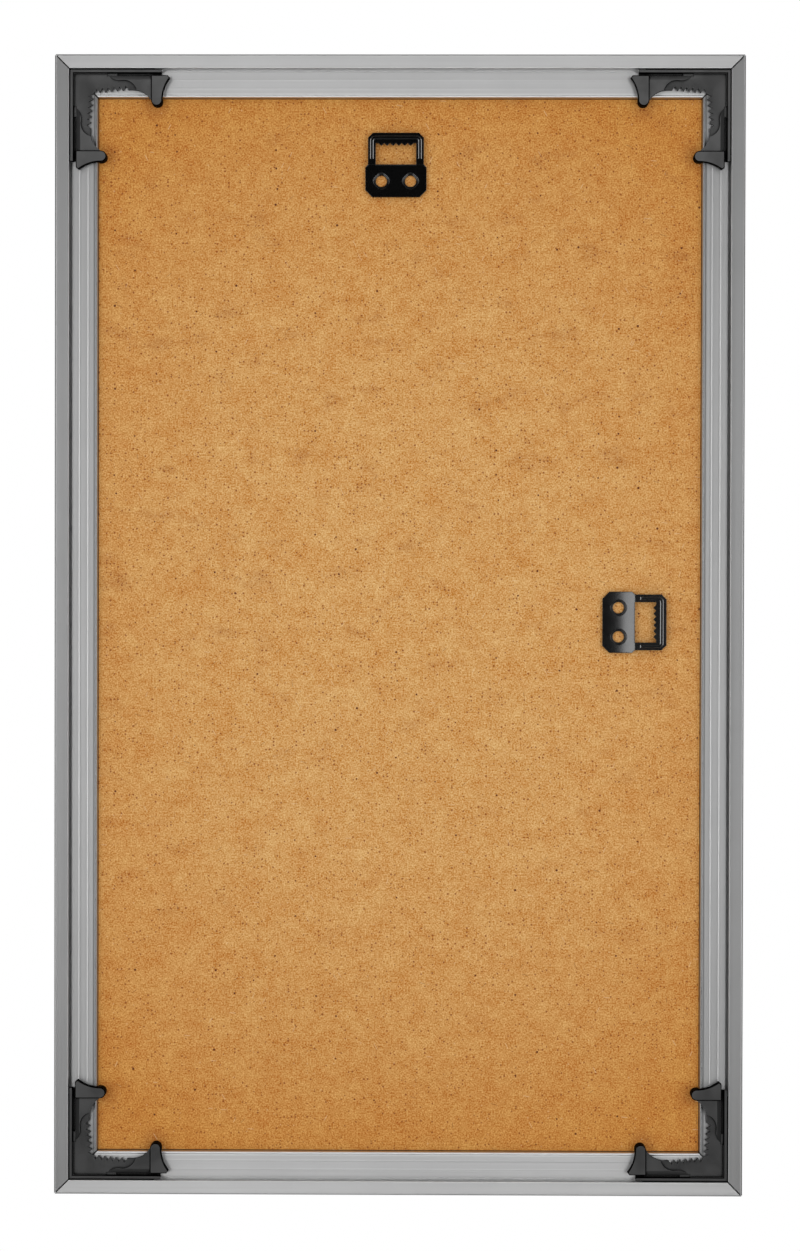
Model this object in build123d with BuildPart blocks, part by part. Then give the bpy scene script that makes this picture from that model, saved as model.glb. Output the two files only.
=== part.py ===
from build123d import *
import os
from math import sqrt

# Picture frame of mitred aluminium rails. The back drops into a rebate and is held by four
# sprung corner clips, and two toothed hangers on the back let it hang upright or sideways.
# X runs along the width, Z up, and Y from the wall (y = 0) out to the picture side.
# The origin is where the wall nail bears in the top hanger, on the wall plane. Millimetres.

# Frame
frame_width = 307.0
frame_height = 508.0
hang_drop = 38.9  # nail seat of the top hanger below the top of the frame
hang_shift = 1.8  # and to the left of the middle of the frame
side_hang_inset = 38.8  # nail seat of the side hanger in from the right of the frame
side_hang_shift = 1.8  # and above the middle of the frame

# Rail section, measured inward from the outer face and forward from the wall plane
outer_wall = 1.4
flange_width = 6.3
flange_thickness = 1.0
groove_width = 1.1  # mouth of the groove beside the flange
groove_depth = 5.0
recess_depth = 3.2
shelf_thickness = 1.2
rail_width = 18.8
rebate_wall = 1.2
lip_width = 6.0
face_thickness = 1.4
outer_radius = 0.8
edge_radius = 0.4
bead_radius = 0.8
bead_height = 0.15
ridge_place = 10.9
ridge_pitch = 3.8
ridge_radius = 3.0
ridge_height = 0.03
mitre_gap = 0.4  # at the back, because the mitres are undercut
mitre_gap_face = 0.02

# Sheets in the rebate
board_drop = 3.0  # rear face of the board below the shelf
glass_thickness = 2.0
sheet_thickness = 0.3
board_thickness = 3.0
rebate_clearance = 0.25

# Angle keys inside the rails
key_leg = 27.4
key_clearance = 0.2
key_end_chamfer = 1.2
barb_count = 4
barb_pitch = 5.5
barb_length = 4.0
barb_depth = 1.0

# Corner clips, with places along an arm and widths across it measured from the clip's own corner
clip_gap = 0.2  # between the rear flange and the clip
clip_leg = 40.9
clip_wall = 1.6
clip_wall_level = 0.8
clip_wall_round = 0.5
clip_wall_gap = 0.25  # between the wall and the shelf
clip_lift = 0.3  # underside of the clip above the bead
tongue_reach = 3.0
tongue_gap = 0.3
tongue_thickness = 1.2
tongue_setback = 3.0
nail_room = 0.6  # between the toothed plate and the shelf
plate_thickness = 0.8
slit_width = 1.2
slit_floor_width = 1.0  # thin strip along the wall, in front of the slit
slit_floor_thickness = 0.35
slit_start = 21.1
tooth_line_corner = 10.7
tooth_line_end = 26.9
tooth_line_narrow = 9.2
tooth_first = 1.3
tooth_pitch = 2.6
tooth_count = 6
tooth_depth = 2.0
tooth_tip = 0.25
arm_rise = 0.9
arm_bevel_width = 1.9
arm_bevel_depth = 1.1
step_line = [(16.5, -0.8), (19.4, 1.6), (23.2, 2.1), (30.0, 8.5)]  # widths from the slit
horn_start = 36.3
horn_length = 8.3
horn_rise = 1.7
horn_bevel = 0.4
horn_tip_radius = 2.45
horn_base_width = 4.0
horn_base_corner = 0.9
board_grip = 3.85  # how far a horn reaches over the board
foot_start = 0.6  # foot under the horn tip, in from the rebate wall
foot_gap = 0.1

# Hangers, measured from the nail seat
hanger_thickness = 1.0
bar_width = 4.6
window_height = 9.5
window_width = 18.0
loop_width = 24.9
loop_chamfer = 2.2
hanger_plate_width = 27.3
hanger_plate_height = 14.4
hanger_plate_chamfer = 3.1
shoulder_chamfer = 1.2
dimple_depth = 0.6
dimple_width = 6.6
dimple_round = 2.4
dimple_slope = 45.0
loop_rise = 1.1  # of the loop above the plate
ramp_length = 3.4
hanger_tooth_count = 6
hanger_tooth_pitch = 2.6
hanger_tooth_height = 1.1
hanger_tooth_tip = 0.3
rib_width = 1.5
rib_height = 0.45
rib_bevel = 0.3
rib_inset = 2.1
rib_bend = 1.6
rib_end = 2.4
collar_pitch = 13.0
collar_bore = 5.1
collar_wall = 0.5
collar_depth = 2.0
collar_clearance = 0.05

# Places that follow from the sizes above
right = Vector(1, 0, 0)
up = Vector(0, 0, 1)
depth = Vector(0, 1, 0)
half_width = right * (frame_width / 2)
half_height = up * (frame_height / 2)
middle = right * hang_shift + up * hang_drop - half_height
face_width = rail_width + lip_width
board_back = recess_depth + board_drop
sheet_back = board_back + board_thickness
glass_back = sheet_back + sheet_thickness
face_back = glass_back + glass_thickness
frame_depth = face_back + face_thickness
sheet_width = frame_width - 2 * (rail_width + rebate_clearance)
sheet_height = frame_height - 2 * (rail_width + rebate_clearance)
groove_side = flange_width + groove_width
chamber_back = recess_depth + shelf_thickness
chamber_near = groove_side + shelf_thickness
chamber_side = rail_width - rebate_wall
collar_middle = (0, -window_height - hanger_plate_height / 2)

sides = {
    "top": (middle + half_height, -up, frame_width),
    "right": (middle + half_width, -right, frame_height),
    "bottom": (middle - half_height, up, frame_width),
    "left": (middle - half_width, right, frame_height),
}

# At each corner local x and y run inward along the two rails, and z runs forward
corners = {
    "top_left": Plane(middle - half_width + half_height, x_dir=right, z_dir=depth),
    "top_right": Plane(middle + half_width + half_height, x_dir=-up, z_dir=depth),
    "bottom_right": Plane(middle + half_width - half_height, x_dir=-right, z_dir=depth),
    "bottom_left": Plane(middle - half_width - half_height, x_dir=up, z_dir=depth),
}
diagonal = Plane((0, 0, 0), z_dir=(1, -1, 0))

# On each hanger local y runs from the plate to the loop, and z from the board to the wall
hangers = {
    "hanger_top": Plane(depth * board_back, x_dir=right, z_dir=-depth),
    "hanger_side": Plane(
        middle + half_width - right * side_hang_inset + up * side_hang_shift + depth * board_back,
        x_dir=-up,
        z_dir=-depth,
    ),
}


def write(part, name):
    part.label = name
    export_step(part, f"parts/{name}.step")


# One mitred rail: a hollow extrusion with a groove under its rear flange, a shelf and a front lip
def make_rail(name, outer_edge, inward, length):
    along = inward.cross(depth)
    bead_middle = rail_width - bead_radius
    bead_side = recess_depth + bead_radius - bead_height
    bead_start = bead_middle - sqrt(bead_radius**2 - (bead_radius - bead_height) ** 2)
    ridge_middle = recess_depth + ridge_radius - ridge_height
    groove_floor = groove_depth + shelf_thickness
    back_end = (length - sqrt(2) * mitre_gap) / 2
    face_end = (length - sqrt(2) * mitre_gap_face) / 2

    with BuildPart() as rail:
        with BuildSketch(Plane(outer_edge, x_dir=inward, z_dir=along)):
            with BuildLine():
                FilletPolyline(
                    (bead_start, recess_depth),
                    (groove_side, recess_depth),
                    (groove_side, groove_depth),
                    (outer_wall, groove_depth),
                    (outer_wall, flange_thickness),
                    (flange_width, flange_thickness),
                    (flange_width, 0),
                    (0, 0),
                    (0, frame_depth),
                    (face_width, frame_depth),
                    (face_width, face_back),
                    (rail_width, face_back),
                    (rail_width, bead_side),
                    radius=[0] * 5 + [edge_radius] + [outer_radius] * 2 + [edge_radius] + [0] * 2,
                )
                ThreePointArc(
                    (rail_width, bead_side),
                    (bead_middle, recess_depth - bead_height),
                    (bead_start, recess_depth),
                )
            make_face()
            with Locations((ridge_place, ridge_middle), (ridge_place + ridge_pitch, ridge_middle)):
                Circle(ridge_radius)
            Polygon(
                (chamber_near, chamber_back),
                (chamber_side, chamber_back),
                (chamber_side, face_back),
                (outer_wall, face_back),
                (outer_wall, groove_floor),
                (chamber_near, groove_floor),
                mode=Mode.SUBTRACT,
            )
        extrude(amount=length / 2, both=True)
        for end in (along, -along):
            kept_side = depth * (face_end - back_end) - (inward + end) * frame_depth
            split(bisect_by=Plane(outer_edge + end * back_end, z_dir=kept_side))
    write(rail.part, name)


# One angle key, which fills the hollow of two rails at a corner and bites with its barbs
def make_key(name, corner):
    near = chamber_near + key_clearance
    far = chamber_side - key_clearance
    first_barb = far + barb_pitch - barb_length
    key_back = chamber_back + key_clearance
    key_front = face_back - key_clearance

    with BuildPart() as key:
        with BuildSketch(corner.offset(key_back)) as outline:
            with Locations((near, near)):
                Rectangle(far + key_leg - near, far - near, align=Align.MIN)
            chamfer(outline.vertices().group_by(Axis.X)[-1], key_end_chamfer)
            for barb in range(barb_count):
                start = first_barb + barb * barb_pitch
                for edge, bite in ((near, barb_depth), (far, -barb_depth)):
                    Polygon(
                        (start, edge), (start + barb_length, edge), (start, edge + bite), mode=Mode.SUBTRACT
                    )
            mirror(about=diagonal)
        extrude(amount=key_front - key_back)
    write(key.part, name)


# One corner clip: an L-shaped wall with a tongue in the groove of the rail, a toothed plate, and
# two arms, slit free of the wall, that step up to a finger horn with a foot on the board
def make_clip(name, corner):
    inset = flange_width + clip_gap
    own = Plane(corner.origin + (corner.x_dir + corner.y_dir) * inset, x_dir=corner.x_dir, z_dir=depth)
    across = Plane(own.origin, x_dir=own.y_dir, z_dir=own.x_dir)
    halves = Plane(own.origin, z_dir=own.x_dir - own.y_dir)
    arm_near = clip_wall + slit_width
    underside = recess_depth - bead_height - clip_lift
    plate_front = recess_depth - nail_room
    plate_level = plate_front - plate_thickness
    arm_level = plate_level - arm_rise
    horn_level = plate_level - horn_rise
    bevel_level = arm_level + arm_bevel_depth
    wall_front = recess_depth - clip_wall_gap
    slit_floor = wall_front - slit_floor_thickness
    tongue_level = flange_thickness + tongue_gap
    tongue_near = -clip_gap - tongue_reach

    # The edge that carries the teeth starts on the diagonal and ends in a round sweep to the horn
    edge_start = Vector(tooth_line_corner, tooth_line_corner)
    edge_end = Vector(tooth_line_end, tooth_line_narrow)
    edge_run = (edge_end - edge_start).normalized()
    edge_inward = Vector(edge_run.Y, -edge_run.X)
    notch_half = edge_run * ((tooth_pitch - tooth_tip) / 2)
    step = [Vector(place, arm_near + width) for place, width in step_line]
    rebate_edge = rail_width - inset
    tip = Vector(horn_start + horn_tip_radius, rebate_edge + rebate_clearance + board_grip)
    near_tip = tip - Vector(horn_tip_radius, horn_tip_radius)
    far_tip = tip + Vector(horn_tip_radius, -horn_tip_radius)
    base_tip = Vector(horn_start + horn_length, horn_base_width)

    with BuildPart() as clip:
        # Horn, bevelled along its rear edges
        with BuildSketch(own.offset(horn_level)):
            with BuildLine():
                Polyline(
                    near_tip, (horn_start, arm_near), (base_tip.X - horn_base_corner, arm_near), base_tip
                )
                TangentArc(far_tip, base_tip, tangent=(0, -1))
                ThreePointArc(far_tip, tip, near_tip)
            make_face()
        extrude(amount=underside - horn_level)
        chamfer(clip.faces().sort_by(Axis.Y)[0].edges(), horn_bevel)

        # Foot under the horn tip, down to the board
        with BuildSketch(own.offset(underside)):
            with BuildLine():
                Polyline(
                    near_tip,
                    (near_tip.X, rebate_edge + foot_start),
                    (far_tip.X, rebate_edge + foot_start),
                    far_tip,
                )
                ThreePointArc(far_tip, tip, near_tip)
            make_face()
        extrude(amount=board_back - foot_gap - underside)

        # Arm and plate in one, from the diagonal to the horn
        with BuildSketch(own.offset(arm_level)):
            with BuildLine():
                Polyline(edge_end, edge_start, (clip_wall, clip_wall), (slit_start, clip_wall))
                Polyline((slit_start, clip_wall), (slit_start, arm_near), (horn_start, arm_near), near_tip)
                TangentArc(edge_end, near_tip, tangent=edge_run)
            make_face()
        extrude(amount=plate_front - arm_level)

        # S-shaped step from the arm down to the plate, and a bevel on the arm beside the slit
        with BuildSketch(own.offset(arm_level)):
            with BuildLine():
                hollow = ThreePointArc(*step[:3])
                TangentArc(step[2], step[3], tangent=hollow % 1)
                Polyline(step[3], (0, step[3].Y), (0, step[0].Y), step[0])
            make_face()
        extrude(amount=arm_rise, mode=Mode.SUBTRACT)
        with BuildSketch(across.offset(horn_start)):
            Polygon(
                (clip_wall, arm_level),
                (arm_near + arm_bevel_width, arm_level),
                (arm_near, bevel_level),
                (clip_wall, bevel_level),
            )
        extrude(amount=step[0].X - horn_start, mode=Mode.SUBTRACT)

        # Teeth along the inner edge of the plate
        with BuildSketch(own.offset(arm_level)):
            for tooth in range(tooth_count):
                notch = edge_start + edge_run * (tooth_first + tooth * tooth_pitch)
                Polygon(notch - notch_half, notch + notch_half, notch + edge_inward * tooth_depth)
        extrude(amount=plate_front - arm_level, mode=Mode.SUBTRACT)

        # Wall along the rail, with a strip that closes the slit and a tongue that hooks under the flange
        with BuildSketch(across):
            with BuildLine():
                FilletPolyline(
                    (0, wall_front),
                    (0, clip_wall_level),
                    (clip_wall, clip_wall_level),
                    (clip_wall, slit_floor),
                    (clip_wall + slit_floor_width, slit_floor),
                    (clip_wall + slit_floor_width, wall_front),
                    radius=[0] + [clip_wall_round] * 2 + [0] * 3,
                    close=True,
                )
            make_face()
        extrude(amount=clip_leg)
        with BuildSketch(own.offset(tongue_level)):
            with Locations((tongue_near, tongue_near)):
                Rectangle(clip_leg - tongue_setback - tongue_near, -tongue_near, align=Align.MIN)
        extrude(amount=tongue_thickness)

        # The other arm is the same, mirrored in the diagonal of the corner
        split(bisect_by=halves)
        mirror(about=halves)
    write(clip.part, name)


# One stamped hanger: a plate on two pressed dimples, which ramps up to a loop with a toothed bar
def make_hanger(name, seat):
    loop_lift = dimple_depth + loop_rise
    plate_rear = dimple_depth + hanger_thickness
    loop_rear = loop_lift + hanger_thickness
    plate_end = -window_height - hanger_plate_height
    ramp_start = -window_height - ramp_length
    arm_middle = (loop_width + window_width) / 4
    rib_far = bar_width - rib_inset
    rib_near = rib_end - window_height

    with BuildPart() as hanger:
        # Bent sheet, seen along its bends
        with BuildSketch(Plane(seat.origin, x_dir=seat.y_dir, z_dir=seat.x_dir)):
            with BuildLine():
                front = TangentArc((ramp_start, dimple_depth), (-window_height, loop_lift), tangent=(1, 0))
                rear = TangentArc((ramp_start, plate_rear), (-window_height, loop_rear), tangent=(1, 0))
                Polyline(front @ 1, (bar_width, loop_lift), (bar_width, loop_rear), rear @ 1)
                Polyline(front @ 0, (plate_end, dimple_depth), (plate_end, plate_rear), rear @ 0)
            make_face()
        extrude(amount=hanger_plate_width, both=True)

        # Blank outline with its window and teeth
        with BuildSketch(seat) as blank:
            with Locations((0, bar_width)):
                Rectangle(loop_width, bar_width + window_height, align=(Align.CENTER, Align.MAX))
            chamfer(blank.vertices().group_by(Axis.Y)[-1], loop_chamfer)
            with Locations((0, plate_end)):
                Rectangle(hanger_plate_width, hanger_plate_height, align=(Align.CENTER, Align.MIN))
            chamfer(blank.vertices().group_by(Axis.Y)[0], hanger_plate_chamfer)
            shoulders = blank.vertices().group_by(Axis.X)
            chamfer([shoulders[0].sort_by(Axis.Y)[-1], shoulders[-1].sort_by(Axis.Y)[-1]], shoulder_chamfer)
            Rectangle(window_width, window_height, align=(Align.CENTER, Align.MAX), mode=Mode.SUBTRACT)
            with GridLocations(hanger_tooth_pitch, 0, hanger_tooth_count, 1):
                Polygon(
                    (-hanger_tooth_pitch / 2, 0),
                    (-hanger_tooth_tip / 2, -hanger_tooth_height),
                    (hanger_tooth_tip / 2, -hanger_tooth_height),
                    (hanger_tooth_pitch / 2, 0),
                )
        extrude(amount=loop_rear, mode=Mode.INTERSECT)

        # Stiffening rib round the loop
        with BuildSketch(seat.offset(loop_rear)):
            with BuildLine():
                edges = [
                    FilletPolyline(
                        (-arm_middle - out, rib_near),
                        (-arm_middle - out, rib_far + out),
                        (arm_middle + out, rib_far + out),
                        (arm_middle + out, rib_near),
                        radius=rib_bend + out,
                    )
                    for out in (rib_width / 2, -rib_width / 2)
                ]
                for end in (0, 1):
                    Line(edges[0] @ end, edges[1] @ end)
            make_face()
        extrude(amount=rib_height)
        chamfer(hanger.faces().sort_by(Axis.Y)[0].edges(), rib_bevel)

        # Dimples down to the board, and collars pressed into it
        with BuildSketch(seat.offset(dimple_depth)):
            with Locations(collar_middle):
                with GridLocations(collar_pitch, 0, 2, 1):
                    RectangleRounded(dimple_width, dimple_width, dimple_round, rotation=45)
        extrude(amount=-dimple_depth, taper=dimple_slope)
        with BuildSketch(seat.offset(plate_rear)):
            with Locations(collar_middle):
                with GridLocations(collar_pitch, 0, 2, 1):
                    RectangleRounded(dimple_width, dimple_width, dimple_round, rotation=45)
        extrude(amount=-dimple_depth, taper=dimple_slope, mode=Mode.SUBTRACT)
        with BuildSketch(seat):
            with Locations(collar_middle):
                with GridLocations(collar_pitch, 0, 2, 1):
                    Circle(collar_bore / 2 + collar_wall)
        extrude(amount=-collar_depth)
        with BuildSketch(seat.offset(plate_rear)):
            with Locations(collar_middle):
                with GridLocations(collar_pitch, 0, 2, 1):
                    Circle(collar_bore / 2)
        extrude(amount=-plate_rear - collar_depth, mode=Mode.SUBTRACT)
    write(hanger.part, name)


os.makedirs("parts", exist_ok=True)

for side, (outer_edge, inward, length) in sides.items():
    make_rail(f"rail_{side}", outer_edge, inward, length)

for place, corner in corners.items():
    make_key(f"corner_key_{place}", corner)
    make_clip(f"corner_clip_{place}", corner)

for name, seat in hangers.items():
    make_hanger(name, seat)

# Sheets in the rebate, from the lip back: the board also takes the collars of the hangers
sheet_middle = Plane(middle, x_dir=right, z_dir=depth)

with BuildPart() as glazing:
    with BuildSketch(sheet_middle.offset(glass_back)):
        Rectangle(sheet_width, sheet_height)
    extrude(amount=glass_thickness)
write(glazing.part, "glazing")

with BuildPart() as picture_sheet:
    with BuildSketch(sheet_middle.offset(sheet_back)):
        Rectangle(sheet_width, sheet_height)
    extrude(amount=sheet_thickness)
write(picture_sheet.part, "picture_sheet")

with BuildPart() as backing_board:
    with BuildSketch(sheet_middle.offset(board_back)):
        Rectangle(sheet_width, sheet_height)
    extrude(amount=board_thickness)
    for seat in hangers.values():
        with BuildSketch(seat):
            with Locations(collar_middle):
                with GridLocations(collar_pitch, 0, 2, 1):
                    Circle(collar_bore / 2 + collar_wall + collar_clearance)
                    Circle(collar_bore / 2 - collar_clearance, mode=Mode.SUBTRACT)
        extrude(amount=-collar_depth - collar_clearance, mode=Mode.SUBTRACT)
write(backing_board.part, "backing_board")
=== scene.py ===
import bpy
from math import cos, radians, sin
from mathutils import Matrix, Vector


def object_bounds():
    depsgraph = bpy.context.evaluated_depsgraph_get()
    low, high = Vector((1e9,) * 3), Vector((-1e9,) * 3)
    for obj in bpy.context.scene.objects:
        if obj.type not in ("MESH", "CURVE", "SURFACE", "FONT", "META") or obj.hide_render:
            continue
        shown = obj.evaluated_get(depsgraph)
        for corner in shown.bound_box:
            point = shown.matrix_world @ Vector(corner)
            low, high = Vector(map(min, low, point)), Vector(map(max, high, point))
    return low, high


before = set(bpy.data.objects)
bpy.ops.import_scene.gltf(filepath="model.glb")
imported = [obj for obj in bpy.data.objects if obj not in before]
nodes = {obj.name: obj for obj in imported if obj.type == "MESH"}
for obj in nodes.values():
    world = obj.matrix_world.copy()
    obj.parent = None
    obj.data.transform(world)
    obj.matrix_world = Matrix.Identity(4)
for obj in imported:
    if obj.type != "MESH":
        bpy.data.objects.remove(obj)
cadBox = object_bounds()
lowCorner, highCorner = cadBox
middle = (lowCorner + highCorner) / 2
half = (highCorner - lowCorner) / 2
corners = ("top_left", "top_right", "bottom_left", "bottom_right")
print("frame loaded:", len(nodes), "pieces")


# Node helpers: what goes in is a plain value or the output of another node
def feed(tree, socket, value):
    if isinstance(value, bpy.types.NodeSocket):
        tree.links.new(value, socket)
    else:
        socket.default_value = value


def feedInOrder(tree, sockets, values):
    for socket, value in zip(sockets, values):
        feed(tree, socket, value)


def addNode(tree, kind, settings=None, **values):
    node = tree.nodes.new("ShaderNode" + kind)
    for name, value in (settings or {}).items():
        setattr(node, name, value)
    for name, value in values.items():
        feed(tree, node.inputs[name], value)
    return node


def calc(tree, operation, *values):
    node = addNode(tree, "Math", {"operation": operation})
    feedInOrder(tree, node.inputs, values)
    return node.outputs["Value"]


def product(tree, first, *others):
    for other in others:
        first = calc(tree, "MULTIPLY", first, other)
    return first


def calcVector(tree, operation, *values):
    node = addNode(tree, "VectorMath", {"operation": operation})
    feedInOrder(tree, node.inputs, values)
    return node.outputs["Value" if operation in ("DOT_PRODUCT", "DISTANCE", "LENGTH") else "Vector"]


def scaleVector(tree, vector, scale):
    node = addNode(tree, "VectorMath", {"operation": "SCALE"}, Scale=scale)
    feed(tree, node.inputs[0], vector)
    return node.outputs["Vector"]


def splitAxes(tree, vector):
    return addNode(tree, "SeparateXYZ", Vector=vector).outputs


def joinAxes(tree, **axes):
    return addNode(tree, "CombineXYZ", **axes).outputs["Vector"]


def joinColour(tree, red, green, blue):
    return addNode(tree, "CombineColor", Red=red, Green=green, Blue=blue).outputs["Color"]


def remap(tree, value, low, high, newLow=0.0, newHigh=1.0, smooth=False):
    node = addNode(tree, "MapRange", {"interpolation_type": "SMOOTHSTEP" if smooth else "LINEAR"})
    sockets = [node.inputs[name] for name in ("Value", "From Min", "From Max", "To Min", "To Max")]
    feedInOrder(tree, sockets, (value, low, high, newLow, newHigh))
    return node.outputs["Result"]


# A value that a mask sways to both sides of its usual level
def swayAbout(tree, mask, level, sway):
    return remap(tree, mask, 0.0, 1.0, level - sway, level + sway)


def mixColour(tree, share, first, second, blend="MIX"):
    node = addNode(tree, "Mix", {"data_type": "RGBA", "blend_type": blend})
    sockets = [node.inputs[index] for index in (0, 6, 7)]  # those of a mix of colours
    feedInOrder(tree, sockets, (share, first, second))
    return node.outputs[2]


def noise(tree, place, scale, detail, roughness):
    node = addNode(tree, "TexNoise", Vector=place, Scale=scale, Detail=detail, Roughness=roughness)
    return node.outputs["Fac"]


# Cells of a loose grid, and the lots that are drawn for each cell
def looseCells(tree, place, scale):
    cells = addNode(tree, "TexVoronoi", {"voronoi_dimensions": "2D"}, Vector=place, Scale=scale).outputs
    return cells, addNode(tree, "SeparateColor", Color=cells["Color"]).outputs


def grey(level):
    return (level, level, level, 1.0)


def rgb(red, green, blue):
    return (red, green, blue, 1.0)


# Shared effects, each a node group that is built once
def newGroup(name, inputs, outputs):
    group = bpy.data.node_groups.new(name, "ShaderNodeTree")
    for label, kind, value in inputs:
        socket = group.interface.new_socket(label, in_out="INPUT", socket_type="NodeSocket" + kind)
        if value is not None:
            socket.default_value = value
    for label, kind in outputs:
        group.interface.new_socket(label, in_out="OUTPUT", socket_type="NodeSocket" + kind)
    taken = group.nodes.new("NodeGroupInput").outputs
    given = group.nodes.new("NodeGroupOutput").inputs
    return group, taken, given


def useGroup(tree, group, **values):
    node = tree.nodes.new("ShaderNodeGroup")
    node.node_tree = group
    for name, value in values.items():
        feed(tree, node.inputs[name], value)
    return node.outputs


# Grain of a given size in metres, spread evenly about 0.5
def makeGrainGroup():
    low, high = 0.28, 0.72  # nearly all of the noise lies between these
    group, taken, given = newGroup(
        "grain",
        [("Place", "Vector", None), ("Size", "Float", 0.001), ("Detail", "Float", 2.0)],
        [("Value", "Float")],
    )
    scale = calc(group, "DIVIDE", 1.0, taken["Size"])
    value = noise(group, taken["Place"], scale, detail=taken["Detail"], roughness=0.6)
    feed(group, given["Value"], remap(group, value, low, high))
    return group


# Round specks: some cells of a loose grid hold one, and they differ in size
def makeSpecksGroup():
    smallest, core = 0.4, 0.5  # shares of the full size, and of the radius before it fades
    group, taken, given = newGroup(
        "specks",
        [
            ("Place", "Vector", None),
            ("Spacing", "Float", 0.01),
            ("Size", "Float", 0.0005),
            ("Share", "Float", 0.3),
        ],
        [("Mask", "Float")],
    )
    cells, lots = looseCells(group, taken["Place"], calc(group, "DIVIDE", 1.0, taken["Spacing"]))
    chosen = calc(group, "LESS_THAN", lots["Red"], taken["Share"])
    reach = calc(group, "DIVIDE", taken["Size"], taken["Spacing"])
    reach = calc(group, "MULTIPLY", reach, remap(group, lots["Green"], 0.0, 1.0, smallest, 1.0))
    solid = calc(group, "MULTIPLY", reach, core)
    spot = remap(group, cells["Distance"], solid, reach, 1.0, 0.0, smooth=True)
    feed(group, given["Mask"], calc(group, "MULTIPLY", spot, chosen))
    return group


# Short fibres that lie about one direction, a little curved
def makeFibresGroup():
    driftScale = 140.0
    lengthRoom, widthRoom = 2.0, 8.0  # a cell is so many times as long and as wide as its fibre
    endFade, sideFade = (0.15, 0.25), (0.02, 0.09)
    group, taken, given = newGroup(
        "fibres",
        [
            ("Place", "Vector", None),
            ("Length", "Float", 0.004),
            ("Width", "Float", 0.0003),
            ("Turn", "Float", 0.0),
            ("Bend", "Float", 0.001),
            ("Share", "Float", 0.3),
        ],
        [("Mask", "Float")],
    )
    drift = addNode(group, "TexNoise", Vector=taken["Place"], Scale=driftScale, Detail=1.0).outputs["Color"]
    drift = calcVector(group, "SUBTRACT", drift, (0.5, 0.5, 0.5))
    place = calcVector(group, "ADD", taken["Place"], scaleVector(group, drift, taken["Bend"]))
    turned = addNode(group, "VectorRotate", {"rotation_type": "Z_AXIS"}, Vector=place, Angle=taken["Turn"])
    axes = splitAxes(group, turned.outputs["Vector"])
    cell = joinAxes(
        group,
        X=calc(group, "DIVIDE", axes["X"], calc(group, "MULTIPLY", taken["Length"], lengthRoom)),
        Y=calc(group, "DIVIDE", axes["Y"], calc(group, "MULTIPLY", taken["Width"], widthRoom)),
    )
    cells, lots = looseCells(group, cell, 1.0)
    chosen = calc(group, "LESS_THAN", lots["Red"], taken["Share"])
    own = splitAxes(group, calcVector(group, "SUBTRACT", cell, cells["Position"]))
    ends = remap(group, calc(group, "ABSOLUTE", own["X"]), *endFade, 1.0, 0.0, smooth=True)
    sides = remap(group, calc(group, "ABSOLUTE", own["Y"]), *sideFade, 1.0, 0.0, smooth=True)
    feed(group, given["Mask"], product(group, ends, sides, chosen))
    return group


# Fine lines that an extrusion keeps from its die, drawn out along one axis
def makeDieLinesGroup():
    drawOut = 0.997  # share of the way along the axis that the noise doesn't see
    coarser = 5.0
    low, high = 0.3, 0.7  # nearly all of the noise lies between these
    group, taken, given = newGroup(
        "die lines",
        [("Place", "Vector", None), ("Along", "Vector", (1.0, 0.0, 0.0)), ("Pitch", "Float", 0.001)],
        [("Value", "Float"), ("Coarse", "Float")],
    )
    run = calcVector(group, "MULTIPLY", taken["Place"], taken["Along"])
    place = calcVector(group, "SUBTRACT", taken["Place"], scaleVector(group, run, drawOut))
    scale = calc(group, "DIVIDE", 1.0, taken["Pitch"])
    fine = noise(group, place, scale, detail=3.0, roughness=0.65)
    coarse = noise(group, place, calc(group, "DIVIDE", scale, coarser), detail=1.0, roughness=0.5)
    feed(group, given["Value"], remap(group, fine, low, high))
    feed(group, given["Coarse"], remap(group, coarse, low, high))
    return group


# Broad uneven patches, from handling and from the making
def makePatchesGroup():
    group, taken, given = newGroup(
        "patches",
        [("Place", "Vector", None), ("Size", "Float", 0.03), ("Low", "Float", 0.35), ("High", "Float", 0.65)],
        [("Value", "Float")],
    )
    scale = calc(group, "DIVIDE", 1.0, taken["Size"])
    value = noise(group, taken["Place"], scale, detail=5.0, roughness=0.6)
    feed(group, given["Value"], remap(group, value, taken["Low"], taken["High"], smooth=True))
    return group


# Softened edges: a rounded normal, and a mask that is 1 on the edge itself
def makeSoftEdgesGroup():
    fullTurn = 0.8  # cosine of the turn at which the mask is full
    group, taken, given = newGroup(
        "soft edges", [("Radius", "Float", 0.0003)], [("Normal", "Vector"), ("Edge", "Float")]
    )
    rounded = addNode(group, "Bevel", {"samples": 4}, Radius=taken["Radius"]).outputs["Normal"]
    flat = addNode(group, "NewGeometry").outputs["Normal"]
    turn = calcVector(group, "DOT_PRODUCT", rounded, flat)
    feed(group, given["Normal"], rounded)
    feed(group, given["Edge"], remap(group, turn, 1.0, fullTurn))
    return group


grain = makeGrainGroup()
specks = makeSpecksGroup()
fibres = makeFibresGroup()
dieLines = makeDieLinesGroup()
patches = makePatchesGroup()
softEdges = makeSoftEdgesGroup()
print("shared effects ready")


# Materials
def newMaterial(name):
    material = bpy.data.materials.new(name)
    material.use_nodes = True
    tree = material.node_tree
    tree.nodes.clear()
    shader = addNode(tree, "BsdfPrincipled")
    output = addNode(tree, "OutputMaterial")
    feed(tree, output.inputs["Surface"], shader.outputs["BSDF"])
    place = addNode(tree, "TexCoord").outputs["Object"]
    return material, tree, shader, place


def bump(tree, height, strength, distance, normal=None):
    node = addNode(tree, "Bump", Height=height, Strength=strength, Distance=distance)
    if normal:
        feed(tree, node.inputs["Normal"], normal)
    return node.outputs["Normal"]


def dress(material, *names):
    for name in names:
        for slot in nodes[name].material_slots:
            slot.material = material


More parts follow.
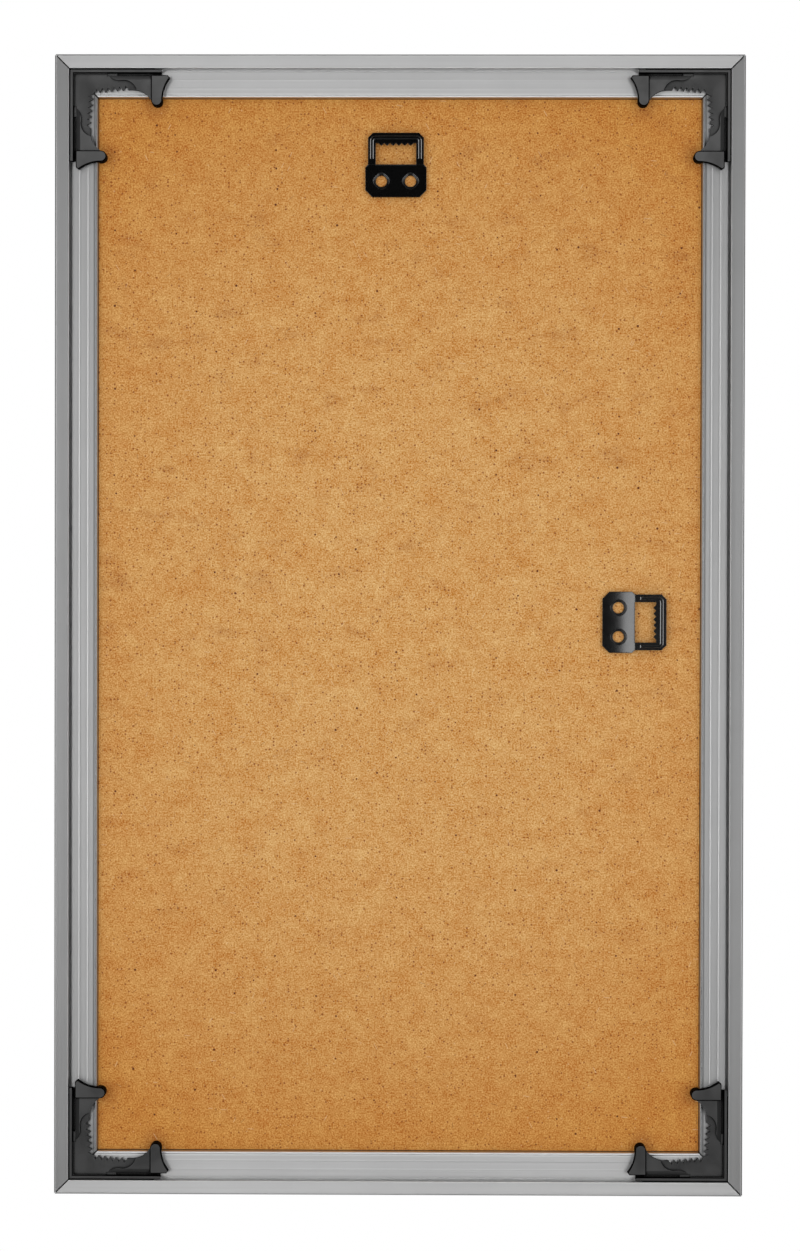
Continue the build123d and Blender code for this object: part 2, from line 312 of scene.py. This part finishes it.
# Which way a face looks, before its edges are softened
def faceAxes(tree):
    return splitAxes(tree, addNode(tree, "NewGeometry").outputs["True Normal"])


# Distance in from the outer edges of the frame, across and upwards
def edgeInsets(tree, place):
    axes = splitAxes(tree, place)
    return [
        calc(tree, "SUBTRACT", reach, calc(tree, "ABSOLUTE", calc(tree, "SUBTRACT", axes[axis], start)))
        for axis, start, reach in (("X", middle.x, half.x), ("Z", middle.z, half.z))
    ]


# Rails: extruded aluminium, anodised, with its die lines running along each rail
railLook = {
    "lineTone": 0.03,
    "patchTone": 0.03,
    "flangeDepth": (0.0015, 0.0020),  # where each tone begins and ends to give way to the next
    "grooveDepth": (0.0033, 0.0038),
    "beadInset": (0.0167, 0.0173),
    "rimInset": (0.00032, 0.00080),
    "mitreGap": (0.0003, 0.0005),
    "mitreTone": 0.10,
    "wallFacing": (-0.3, -0.5),
    "endShade": 0.20,
    "endShadeFall": 3.0,
    "roughness": 0.45,
    "lineRoughness": 0.03,
    "anisotropy": 0.50,
    "linePitch": 0.0011,
    "lineHeight": 0.000004,
    "lineBump": 0.3,
    "patchSize": 0.030,
    "edge": 0.00015,
}
# Each pair of rails: the run of the lines, its colour, and the painted light and shade that the side light
# gives each strip
# The width rails are painted a little lighter than the height rails: painted light, as both are one aluminium
widthRails = {"along": (1, 0, 0), "colour": 0.65, "rim": 0.65, "flange": 1.06, "groove": 1.65, "bead": 1.21}
heightRails = {"along": (0, 0, 1), "colour": 0.61, "rim": 0.20, "flange": 0.745, "groove": 1.06, "bead": 0.43}


def makeRailMaterial(name, pair):
    look = railLook
    material, tree, shader, place = newMaterial(name)
    depth = splitAxes(tree, place)["Y"]
    insets = edgeInsets(tree, place)
    inset = calc(tree, "MINIMUM", *insets)
    # Painted light and shade on each strip of the back: the flange, the groove, the bead and the outer rim
    strips = (
        remap(tree, depth, *look["flangeDepth"], pair["flange"], 1.0),
        remap(tree, depth, *look["grooveDepth"], 1.0, pair["groove"]),
        remap(tree, inset, *look["beadInset"], 1.0, pair["bead"]),
        remap(tree, inset, *look["rimInset"], pair["rim"], 1.0),
    )
    toWall = remap(tree, faceAxes(tree)["Y"], *look["wallFacing"])
    shades = [remap(tree, toWall, 0.0, 1.0, 1.0, strip) for strip in strips]
    mitre = calc(tree, "ABSOLUTE", calc(tree, "SUBTRACT", *insets))
    shades.append(remap(tree, mitre, *look["mitreGap"], look["mitreTone"], 1.0))
    # Painted shade: the rails darken towards their ends, where the side light falls off
    reached = [calc(tree, "DIVIDE", *sizes) for sizes in zip(insets, (half.x, half.z))]
    toEnd = calc(tree, "SUBTRACT", 1.0, calc(tree, "MAXIMUM", *reached))  # 0 in the middle of a rail
    toEnd = calc(tree, "POWER", toEnd, look["endShadeFall"])
    shades.append(remap(tree, toEnd, 0.0, 1.0, 1.0, 1.0 - look["endShade"]))
    lines = useGroup(tree, dieLines, Place=place, Along=pair["along"], Pitch=look["linePitch"])
    drawn = calc(tree, "MULTIPLY", calc(tree, "ADD", lines["Coarse"], lines["Value"]), 0.5)
    tone = swayAbout(tree, drawn, pair["colour"], look["lineTone"])
    handled = useGroup(tree, patches, Place=place, Size=look["patchSize"])["Value"]
    tone = product(tree, tone, remap(tree, handled, 0.0, 1.0, 1.0, 1.0 - look["patchTone"]), *shades)
    feed(tree, shader.inputs["Base Color"], joinColour(tree, tone, tone, tone))
    rough = swayAbout(tree, lines["Value"], look["roughness"], look["lineRoughness"])
    feed(tree, shader.inputs["Roughness"], rough)
    shader.inputs["Metallic"].default_value = 1.0
    shader.inputs["Anisotropic"].default_value = look["anisotropy"]
    feed(tree, shader.inputs["Tangent"], joinAxes(tree, **dict(zip("XYZ", pair["along"]))))
    soft = useGroup(tree, softEdges, Radius=look["edge"])["Normal"]
    relief = bump(tree, lines["Value"], look["lineBump"], look["lineHeight"], soft)
    feed(tree, shader.inputs["Normal"], relief)
    return material


dress(makeRailMaterial("aluminium along the width", widthRails), "rail_top", "rail_bottom")
dress(makeRailMaterial("aluminium along the height", heightRails), "rail_left", "rail_right")
print("rails dressed")

# Corner clips: black moulded plastic with a fine satin texture
clipLook = {
    "armColour": 0.042,
    "plateColour": 0.032,
    "toothColour": 0.010,
    "stepDepth": (0.0010, 0.0016),  # from the arms down to the plate
    "toothInset": (0.0100, 0.0155),  # from the plain plate in to the teeth
    "lowShade": 0.30,
    "patchTone": 0.15,
    "edgeColour": 0.020,
    "shadeColour": 0.001,
    "roughness": 0.44,
    "grainRoughness": 0.05,
    "flowRoughness": 0.07,
    "shadeRoughness": 0.95,
    "sideFacing": (0.75, 0.85),
    "slopeFacing": (0.3, 0.5),
    "slopeShade": 0.55,
    "wallInset": (0.0080, 0.0082),
    "wallShade": 0.08,
    "seamInset": 0.0084,
    "crevice": 0.0025,
    "openness": (0.45, 0.85),
    "specular": 0.8,
    "grainSize": 0.0005,
    "grainHeight": 0.00002,
    "grainBump": 0.4,
    "patchSize": 0.012,
    "edge": 0.00015,
}


def makeClipMaterial():
    look = clipLook
    material, tree, shader, place = newMaterial("moulded clip plastic")
    texture = useGroup(tree, grain, Place=place, Size=look["grainSize"])["Value"]
    flow = useGroup(tree, patches, Place=place, Size=look["patchSize"])["Value"]
    soft = useGroup(tree, softEdges, Radius=look["edge"])
    axes = splitAxes(tree, place)
    facing = faceAxes(tree)
    inset = calc(tree, "MINIMUM", *edgeInsets(tree, place))
    # In shade: upright sides, the slopes of the upright arms, crevices, and the wall with its seam
    side = remap(tree, calc(tree, "ABSOLUTE", facing["Y"]), *look["sideFacing"], 1.0, 0.0)
    slope = remap(tree, calc(tree, "ABSOLUTE", facing["X"]), *look["slopeFacing"], 0.0, look["slopeShade"])
    wall = remap(tree, inset, *look["wallInset"], look["wallShade"], 1.0)
    wall = calc(tree, "MULTIPLY", wall, calc(tree, "LESS_THAN", inset, look["seamInset"]))
    openness = addNode(tree, "AmbientOcclusion", {"samples": 6}, Distance=look["crevice"]).outputs["AO"]
    shaded = remap(tree, openness, *look["openness"], 1.0, 0.0)
    for shade in (side, slope, wall):
        shaded = calc(tree, "MAXIMUM", shaded, shade)
    # Painted shade: the plate is darker than the arms, and darker still in towards the teeth
    plate = remap(tree, inset, *look["toothInset"], look["plateColour"], look["toothColour"])
    tone = remap(tree, axes["Y"], *look["stepDepth"], look["armColour"], plate)
    # Painted shade: the clips are darker the lower they sit on the frame
    higher = remap(tree, axes["Z"], lowCorner.z, highCorner.z, look["lowShade"], 1.0)
    tone = product(tree, tone, higher, swayAbout(tree, flow, 1.0, look["patchTone"]))
    colour = mixColour(tree, soft["Edge"], joinColour(tree, tone, tone, tone), grey(look["edgeColour"]))
    feed(tree, shader.inputs["Base Color"], mixColour(tree, shaded, colour, grey(look["shadeColour"])))
    rough = swayAbout(tree, texture, look["roughness"], look["grainRoughness"])
    rough = calc(tree, "ADD", rough, swayAbout(tree, flow, 0.0, look["flowRoughness"]))
    feed(tree, shader.inputs["Roughness"], remap(tree, shaded, 0.0, 1.0, rough, look["shadeRoughness"]))
    feed(tree, shader.inputs["Metallic"], shaded)  # takes the gloss off what is in shade
    shader.inputs["Specular IOR Level"].default_value = look["specular"]
    relief = bump(tree, texture, look["grainBump"], look["grainHeight"], soft["Normal"])
    feed(tree, shader.inputs["Normal"], relief)
    return material


dress(makeClipMaterial(), *("corner_clip_" + corner for corner in corners))
print("clips dressed")

# Hangers: stamped steel under a coat of black stove paint
hangerLook = {
    "colour": 0.001,
    "edgeColour": 0.010,
    "ribHighlight": 0.35,
    "patchRoughness": 0.03,
    "patchSize": 0.009,
    "specular": 0.8,
    "peelSize": 0.0016,
    "peelHeight": 0.00001,
    "peelBump": 0.3,
    "edge": 0.00025,
    "outline": 0.0007,
    "outlineShare": (0.0, 0.3),
    "plateLength": 0.0145,
    "loopStart": 0.0160,
    "dimple": (0.0034, 0.0038),
    "wallFacing": (-0.5, -0.6),
    "acrossFacing": (0.60, 0.66),
}
# Each hanger: the axis it runs along, the plain end of its plate, its dimples, how its plate leans, its gloss
topHanger = {
    "axis": "Z",
    "plateEnd": -0.0239,
    "dimples": ((-0.0065, -0.0167), (0.0065, -0.0167)),
    "lean": (0.0, 0.0),
    "roughness": 0.12,
}
sideHanger = {
    "axis": "X",
    "plateEnd": 0.0926,
    "dimples": ((0.0998, -0.2068), (0.0998, -0.2198)),
    "lean": (0.06, 0.40),
    "roughness": 0.22,
}


# The plate leans ever more towards the loop, as one soft bow, except at its outline and in its dimples
def bowNormal(tree, axes, facing, run, one, plain):
    look = hangerLook
    lean = remap(tree, run, 0.0, look["plateLength"], -one["lean"][0], -one["lean"][1])
    bowed = joinAxes(tree, Y=-1.0, **{one["axis"]: lean})
    rim = useGroup(tree, softEdges, Radius=look["outline"])["Edge"]
    flat = joinAxes(tree, X=axes["X"], Z=axes["Z"])
    away = [calcVector(tree, "DISTANCE", flat, (x, 0.0, z)) for x, z in one["dimples"]]
    share = product(
        tree,
        remap(tree, facing["Y"], *look["wallFacing"]),
        calc(tree, "LESS_THAN", run, look["plateLength"]),
        remap(tree, rim, *look["outlineShare"], 1.0, 0.0),
        *(remap(tree, distance, *look["dimple"]) for distance in away),
    )
    return calcVector(tree, "NORMALIZE", mixColour(tree, share, plain, bowed))


# The bevels of the loop's rib are painted pale where they face across: a painted highlight of the side light
def ribGleam(tree, facing, run):
    look = hangerLook
    return product(
        tree,
        calc(tree, "GREATER_THAN", run, look["loopStart"]),
        remap(tree, calc(tree, "ABSOLUTE", facing["X"]), *look["acrossFacing"]),
        remap(tree, facing["Y"], *look["wallFacing"]),
    )


def makeHangerMaterial(name, one):
    look = hangerLook
    material, tree, shader, place = newMaterial(name)
    axes = splitAxes(tree, place)
    facing = faceAxes(tree)
    run = calc(tree, "SUBTRACT", axes[one["axis"]], one["plateEnd"])
    soft = useGroup(tree, softEdges, Radius=look["edge"])
    colour = mixColour(tree, soft["Edge"], grey(look["colour"]), grey(look["edgeColour"]))
    colour = mixColour(tree, ribGleam(tree, facing, run), colour, grey(look["ribHighlight"]))
    feed(tree, shader.inputs["Base Color"], colour)
    handled = useGroup(tree, patches, Place=place, Size=look["patchSize"])["Value"]
    rough = remap(tree, handled, 0.0, 1.0, one["roughness"], one["roughness"] + look["patchRoughness"])
    feed(tree, shader.inputs["Roughness"], rough)
    shader.inputs["Specular IOR Level"].default_value = look["specular"]
    peel = useGroup(tree, grain, Place=place, Size=look["peelSize"], Detail=1.0)["Value"]
    bowed = bowNormal(tree, axes, facing, run, one, soft["Normal"])
    feed(tree, shader.inputs["Normal"], bump(tree, peel, look["peelBump"], look["peelHeight"], bowed))
    return material


dress(makeHangerMaterial("stove paint, top hanger", topHanger), "hanger_top")
dress(makeHangerMaterial("stove paint, side hanger", sideHanger), "hanger_side")
print("hangers dressed")

# Backing board: pressed wood fibre, paler in the middle as a painted sheen, with bark specks and a few loose
# fibres
boardLook = {
    "middle": rgb(0.625, 0.324, 0.100),
    "edge": rgb(0.530, 0.216, 0.036),
    "sheenReach": (0.182, 0.244),
    "sheenFall": 2.8,
    "smudge": rgb(0.400, 0.150, 0.030),
    "smudgeSize": 0.016,
    "smudgeStretch": (0.7, 1.2, 1.0),
    "smudgeLow": 0.54,
    "smudgeHigh": 0.74,
    "smudgeShare": 0.45,
    "smudgeRise": (-0.20, 0.05),  # heights from the middle, between which smudges grow to their full strength
    "smudgeBelow": 0.35,
    "smudgeCrowd": (0.7, 2.4),  # how specks thin out between smudges and crowd in them
    "hornShadow": rgb(0.410, 0.140, 0.020),
    "hornShadowPlace": (0.0235, 0.0445, 0.0),  # beside each horn, in from the near and the far edge
    "hornShadowReach": (0.0020, 0.0070),
    "hornShadowShare": 0.55,
    "bark": rgb(0.120, 0.024, 0.000),
    "pit": rgb(0.220, 0.045, 0.000),
    "hair": rgb(0.200, 0.085, 0.025),
    "straw": rgb(0.780, 0.560, 0.330),
    "roughness": 0.62,
    "grainRoughness": 0.06,
    "grainSize": 0.0007,
    "grainHeight": 0.00004,
    "grainBump": 0.3,
    "specular": 0.2,
}
# Each layer of mottling: its size in metres, its detail, and how far it sways red, green and blue
boardLayers = (
    (0.0007, 2.0, (0.310, 0.600, 1.220)),
    (0.0018, 1.0, (0.060, 0.100, 0.200)),
    (0.0045, 1.0, (0.055, 0.110, 0.210)),
    (0.0120, 2.0, (0.050, 0.120, 0.220)),
    (0.0300, 2.0, (0.019, 0.048, 0.095)),
)
# Each kind of fibre: its turn in degrees, length and width, the share of places with one, strength and colour
boardFibres = (
    (5, 0.0032, 0.00032, 0.008, 0.5, "straw"),
    (60, 0.0036, 0.00030, 0.008, 0.5, "straw"),
    (115, 0.0030, 0.00032, 0.008, 0.5, "straw"),
    (20, 0.0035, 0.00030, 0.006, 0.6, "hair"),
    (80, 0.0028, 0.00028, 0.006, 0.6, "hair"),
    (140, 0.0032, 0.00028, 0.006, 0.6, "hair"),
)
# Each kind of speck: spacing and size in metres, the share of places with one, its strength and its colour
boardSpecks = (
    (0.0030, 0.0005, 0.10, 0.30, "straw"),
    (0.0017, 0.0006, 0.18, 0.80, "pit"),
    (0.0090, 0.0007, 0.18, 1.00, "bark"),
)


# Brown smudges, stronger in the upper part of the board
def boardSmudges(tree, flat, upwards):
    look = boardLook
    drawnOut = calcVector(tree, "MULTIPLY", flat, look["smudgeStretch"])
    sizes = {"Size": look["smudgeSize"], "Low": look["smudgeLow"], "High": look["smudgeHigh"]}
    smudge = useGroup(tree, patches, Place=drawnOut, **sizes)["Value"]
    bottom, top = (middle.z + rise for rise in look["smudgeRise"])
    higher = remap(tree, upwards, bottom, top, look["smudgeBelow"], 1.0, smooth=True)
    return calc(tree, "MULTIPLY", smudge, calc(tree, "MULTIPLY", higher, look["smudgeShare"]))


# Painted shadows on the board around the horns of the clips
def boardHornShadows(tree, place):
    look = boardLook
    insets = edgeInsets(tree, place)
    near = calc(tree, "MINIMUM", *insets)
    far = calc(tree, "MAXIMUM", *insets)
    fromHorn = calcVector(tree, "DISTANCE", joinAxes(tree, X=near, Y=far), look["hornShadowPlace"])
    return remap(tree, fromHorn, *look["hornShadowReach"], look["hornShadowShare"], 0.0, smooth=True)


def makeBoardMaterial():
    look = boardLook
    material, tree, shader, place = newMaterial("pressed wood fibre")
    axes = splitAxes(tree, place)
    flat = joinAxes(tree, X=axes["X"], Y=axes["Z"])
    # Painted sheen: the board is paler in the middle and browner towards its edges
    away = [
        calc(tree, "DIVIDE", calc(tree, "ABSOLUTE", calc(tree, "SUBTRACT", axes[axis], start)), reach)
        for axis, start, reach in zip("XZ", (middle.x, middle.z), look["sheenReach"])
    ]
    away = [calc(tree, "POWER", share, look["sheenFall"]) for share in away]
    toEdge = remap(tree, calc(tree, "ADD", *away), 0.0, 1.0)
    colour = mixColour(tree, toEdge, look["middle"], look["edge"])
    smudge = boardSmudges(tree, flat, axes["Z"])
    colour = mixColour(tree, smudge, colour, look["smudge"])
    # Painted shadow around each horn of the clips
    colour = mixColour(tree, boardHornShadows(tree, place), colour, look["hornShadow"])
    shades = [1.0, 1.0, 1.0]
    for size, detail, sways in boardLayers:
        layer = useGroup(tree, grain, Place=flat, Size=size, Detail=detail)["Value"]
        layer = remap(tree, layer, 0.0, 1.0, -1.0, 1.0)
        shades = [calc(tree, "MULTIPLY_ADD", layer, sway, shade) for sway, shade in zip(sways, shades)]
    colour = mixColour(tree, 1.0, colour, joinColour(tree, *shades), "MULTIPLY")
    for turn, length, width, share, strength, name in boardFibres:
        sizes = {"Length": length, "Width": width, "Turn": radians(turn)}
        mask = useGroup(tree, fibres, Place=flat, Share=share, **sizes)["Mask"]
        colour = mixColour(tree, calc(tree, "MULTIPLY", mask, strength), colour, look[name])
    crowd = remap(tree, smudge, 0.0, look["smudgeShare"], *look["smudgeCrowd"])
    for spacing, size, share, strength, name in boardSpecks:
        chosen = calc(tree, "MULTIPLY", crowd, share)
        mask = useGroup(tree, specks, Place=flat, Spacing=spacing, Size=size, Share=chosen)["Mask"]
        colour = mixColour(tree, calc(tree, "MULTIPLY", mask, strength), colour, look[name])
    feed(tree, shader.inputs["Base Color"], colour)
    fine = useGroup(tree, grain, Place=flat, Size=look["grainSize"])["Value"]
    rough = swayAbout(tree, fine, look["roughness"], look["grainRoughness"])
    feed(tree, shader.inputs["Roughness"], rough)
    shader.inputs["Specular IOR Level"].default_value = look["specular"]
    feed(tree, shader.inputs["Normal"], bump(tree, fine, look["grainBump"], look["grainHeight"]))
    return material


dress(makeBoardMaterial(), "backing_board")
print("board dressed")

# Picture sheet: blank off-white paper
paperLook = {
    "light": rgb(0.86, 0.85, 0.82),
    "dark": rgb(0.80, 0.79, 0.75),
    "roughness": 0.72,
    "pulpSize": 0.0012,
    "pulpShare": 0.6,
    "pulpHeight": 0.00002,
    "pulpBump": 0.3,
    "cloudSize": 0.02,
    "cloudShare": 0.4,
    "strand": {"Length": 0.003, "Width": 0.0002, "Turn": radians(35), "Share": 0.12},
    "strandStrength": 0.3,
}


def makePaperMaterial():
    look = paperLook
    material, tree, shader, place = newMaterial("blank paper")
    axes = splitAxes(tree, place)
    flat = joinAxes(tree, X=axes["X"], Y=axes["Z"])
    pulp = useGroup(tree, grain, Place=flat, Size=look["pulpSize"], Detail=3.0)["Value"]
    cloud = useGroup(tree, patches, Place=flat, Size=look["cloudSize"])["Value"]
    pulpTone = calc(tree, "MULTIPLY", pulp, look["pulpShare"])
    cloudTone = calc(tree, "MULTIPLY", cloud, look["cloudShare"])
    colour = mixColour(tree, calc(tree, "ADD", pulpTone, cloudTone), look["light"], look["dark"])
    strand = useGroup(tree, fibres, Place=flat, **look["strand"])["Mask"]
    colour = mixColour(tree, calc(tree, "MULTIPLY", strand, look["strandStrength"]), colour, look["dark"])
    feed(tree, shader.inputs["Base Color"], colour)
    shader.inputs["Roughness"].default_value = look["roughness"]
    feed(tree, shader.inputs["Normal"], bump(tree, pulp, look["pulpBump"], look["pulpHeight"]))
    return material


dress(makePaperMaterial(), "picture_sheet")

# Glazing: clear float glass, faintly green, a little dull where it was wiped
glassLook = {
    "colour": rgb(0.965, 0.985, 0.972),
    "roughness": 0.01,
    "wipedRoughness": 0.05,
    "wiped": {"Size": 0.05, "Low": 0.45, "High": 0.75},
    "refraction": 1.5,
}


def makeGlassMaterial():
    look = glassLook
    material, tree, shader, place = newMaterial("float glass")
    wiped = useGroup(tree, patches, Place=place, **look["wiped"])["Value"]
    rough = remap(tree, wiped, 0.0, 1.0, look["roughness"], look["wipedRoughness"])
    feed(tree, shader.inputs["Roughness"], rough)
    shader.inputs["Base Color"].default_value = look["colour"]
    shader.inputs["Transmission Weight"].default_value = 1.0
    shader.inputs["IOR"].default_value = look["refraction"]
    return material


dress(makeGlassMaterial(), "glazing")
# Light passes the pane on its way to the sheet
nodes["glazing"].visible_shadow = False
nodes["glazing"].visible_diffuse = False

# Angle keys: black moulded plastic, hidden in the rails
keyLook = {
    "colour": 0.055,
    "dark": 0.040,
    "roughness": 0.5,
    "grainSize": 0.0006,
    "grainHeight": 0.00002,
    "grainBump": 0.3,
}


def makeKeyMaterial():
    look = keyLook
    material, tree, shader, place = newMaterial("moulded key plastic")
    texture = useGroup(tree, grain, Place=place, Size=look["grainSize"])["Value"]
    colour = mixColour(tree, texture, grey(look["colour"]), grey(look["dark"]))
    feed(tree, shader.inputs["Base Color"], colour)
    shader.inputs["Roughness"].default_value = look["roughness"]
    feed(tree, shader.inputs["Normal"], bump(tree, texture, look["grainBump"], look["grainHeight"]))
    return material


dress(makeKeyMaterial(), *("corner_key_" + corner for corner in corners))
print("sheets and keys dressed")

# Stage: a pale floor well below the frame, white all round, soft light from both sides of the camera
stageSet = {
    "floorDrop": 0.145,
    "floorRadius": 0.50,
    "floorSides": 96,
    "floorTone": 0.80,
    "floorRoughness": 0.8,
    "floorFade": (0.55, 0.98),  # shares of the radius between which the floor fades out
    "ambient": 0.80,
    "lampReach": 1.20,
    "lampSpread": 0.75,
    "lampSize": (0.45, 0.9),
    "watts": 2.4,
}
# Panels that only reflections see: their place across, in depth and upwards, width, height and glow
panels = {
    "dark_card": (0.0, -2.2, 0.0, 2.0, 3.0, 0.01),
    "dark_roof": (0.0, -0.5, 1.6, 2.4, 1.2, 0.15),
    "dark_base": (0.0, -0.5, -1.6, 2.4, 1.2, 0.15),
    "left_gleam": (-0.75, -1.2, 0.0, 0.45, 0.9, 4.5),
    "right_gleam": (0.75, -1.2, 0.0, 0.45, 0.9, 4.5),
}


def turnToMiddle(thing):
    thing.rotation_euler = (middle - thing.location).to_track_quat("-Z", "Y").to_euler()


def makeFloor():
    radius = stageSet["floorRadius"]
    bpy.ops.mesh.primitive_circle_add(
        vertices=stageSet["floorSides"],
        radius=radius,
        fill_type="NGON",
        location=(middle.x, middle.y, lowCorner.z - stageSet["floorDrop"]),
    )
    floor = bpy.context.object
    floor.name = "floor"
    material, tree, shader, place = newMaterial("pale floor")
    shader.inputs["Base Color"].default_value = grey(stageSet["floorTone"])
    shader.inputs["Roughness"].default_value = stageSet["floorRoughness"]
    fadeStart, fadeEnd = (share * radius for share in stageSet["floorFade"])
    shown = remap(tree, calcVector(tree, "LENGTH", place), fadeStart, fadeEnd, 1.0, 0.0, smooth=True)
    feed(tree, shader.inputs["Alpha"], shown)
    floor.data.materials.append(material)
    floor.visible_shadow = False
    floor.visible_glossy = False


# The card behind the camera keeps flat black faces black, the gleams light the edges and the metal
def makePanel(name, across, depth, upwards, width, height, glow):
    bpy.ops.mesh.primitive_plane_add(size=1.0, location=(middle.x + across, depth, middle.z + upwards))
    panel = bpy.context.object
    panel.name = name
    panel.scale = (width, height, 1.0)
    turnToMiddle(panel)
    material, _, shader, _ = newMaterial(name)
    shader.inputs["Base Color"].default_value = grey(0.0)
    shader.inputs["Roughness"].default_value = 1.0
    shader.inputs["Emission Color"].default_value = grey(1.0)
    shader.inputs["Emission Strength"].default_value = glow
    panel.data.materials.append(material)
    for ray in ("camera", "diffuse", "transmission", "volume_scatter", "shadow"):
        setattr(panel, "visible_" + ray, False)


# The softboxes light the matt surfaces; the gleams show in the glossy ones
def makeLamp(name, spread):
    data = bpy.data.lights.new(name, "AREA")
    data.shape = "RECTANGLE"
    data.size, data.size_y = stageSet["lampSize"]
    data.energy = stageSet["watts"]
    lamp = bpy.data.objects.new(name, data)
    bpy.context.scene.collection.objects.link(lamp)
    lamp.location = (middle.x + spread, -stageSet["lampReach"], middle.z)
    turnToMiddle(lamp)
    lamp.visible_glossy = False


def makeWorld():
    world = bpy.data.worlds.new("white studio")
    bpy.context.scene.world = world
    world.use_nodes = True
    tree = world.node_tree
    tree.nodes.clear()
    path = addNode(tree, "LightPath").outputs
    seen = calc(tree, "MAXIMUM", path["Is Camera Ray"], path["Is Glossy Ray"])
    seen = calc(tree, "MAXIMUM", seen, path["Is Transmission Ray"])
    strength = remap(tree, seen, 0.0, 1.0, stageSet["ambient"], 1.0)
    background = addNode(tree, "Background", Color=grey(1.0), Strength=strength)
    output = addNode(tree, "OutputWorld")
    feed(tree, output.inputs["Surface"], background.outputs["Background"])


makeFloor()
for name, panel in panels.items():
    makePanel(name, *panel)
makeLamp("left softbox", -stageSet["lampSpread"])
makeLamp("right softbox", stageSet["lampSpread"])
makeWorld()
print("stage set")

# Camera: almost square on to the back of the frame
cameraSet = {
    "target": Vector((0.0023, 0.0, -0.2149)),
    "distance": 1.2,
    "turn": 0.522,
    "tilt": 0.590,
    "roll": 0.1244,
    "lens": 77.6,
    "sensor": 36.0,
}


def makeCamera():
    turn, tilt, roll = (radians(cameraSet[name]) for name in ("turn", "tilt", "roll"))
    right = Vector((cos(turn), sin(turn), 0))
    back = Vector((sin(turn) * cos(tilt), -cos(turn) * cos(tilt), sin(tilt)))
    up = back.cross(right)
    rolledRight = right * cos(roll) + up * sin(roll)
    rolledUp = up * cos(roll) - right * sin(roll)
    data = bpy.data.cameras.new("camera")
    data.lens = cameraSet["lens"]
    data.sensor_width = cameraSet["sensor"]
    camera = bpy.data.objects.new("camera", data)
    bpy.context.scene.collection.objects.link(camera)
    place = cameraSet["target"] + back * cameraSet["distance"]
    turned = Matrix((rolledRight, rolledUp, back)).transposed().to_4x4()
    camera.matrix_world = Matrix.Translation(place) @ turned
    bpy.context.scene.camera = camera


makeCamera()
bpy.context.scene.view_settings.view_transform = "Standard"
print("camera set")
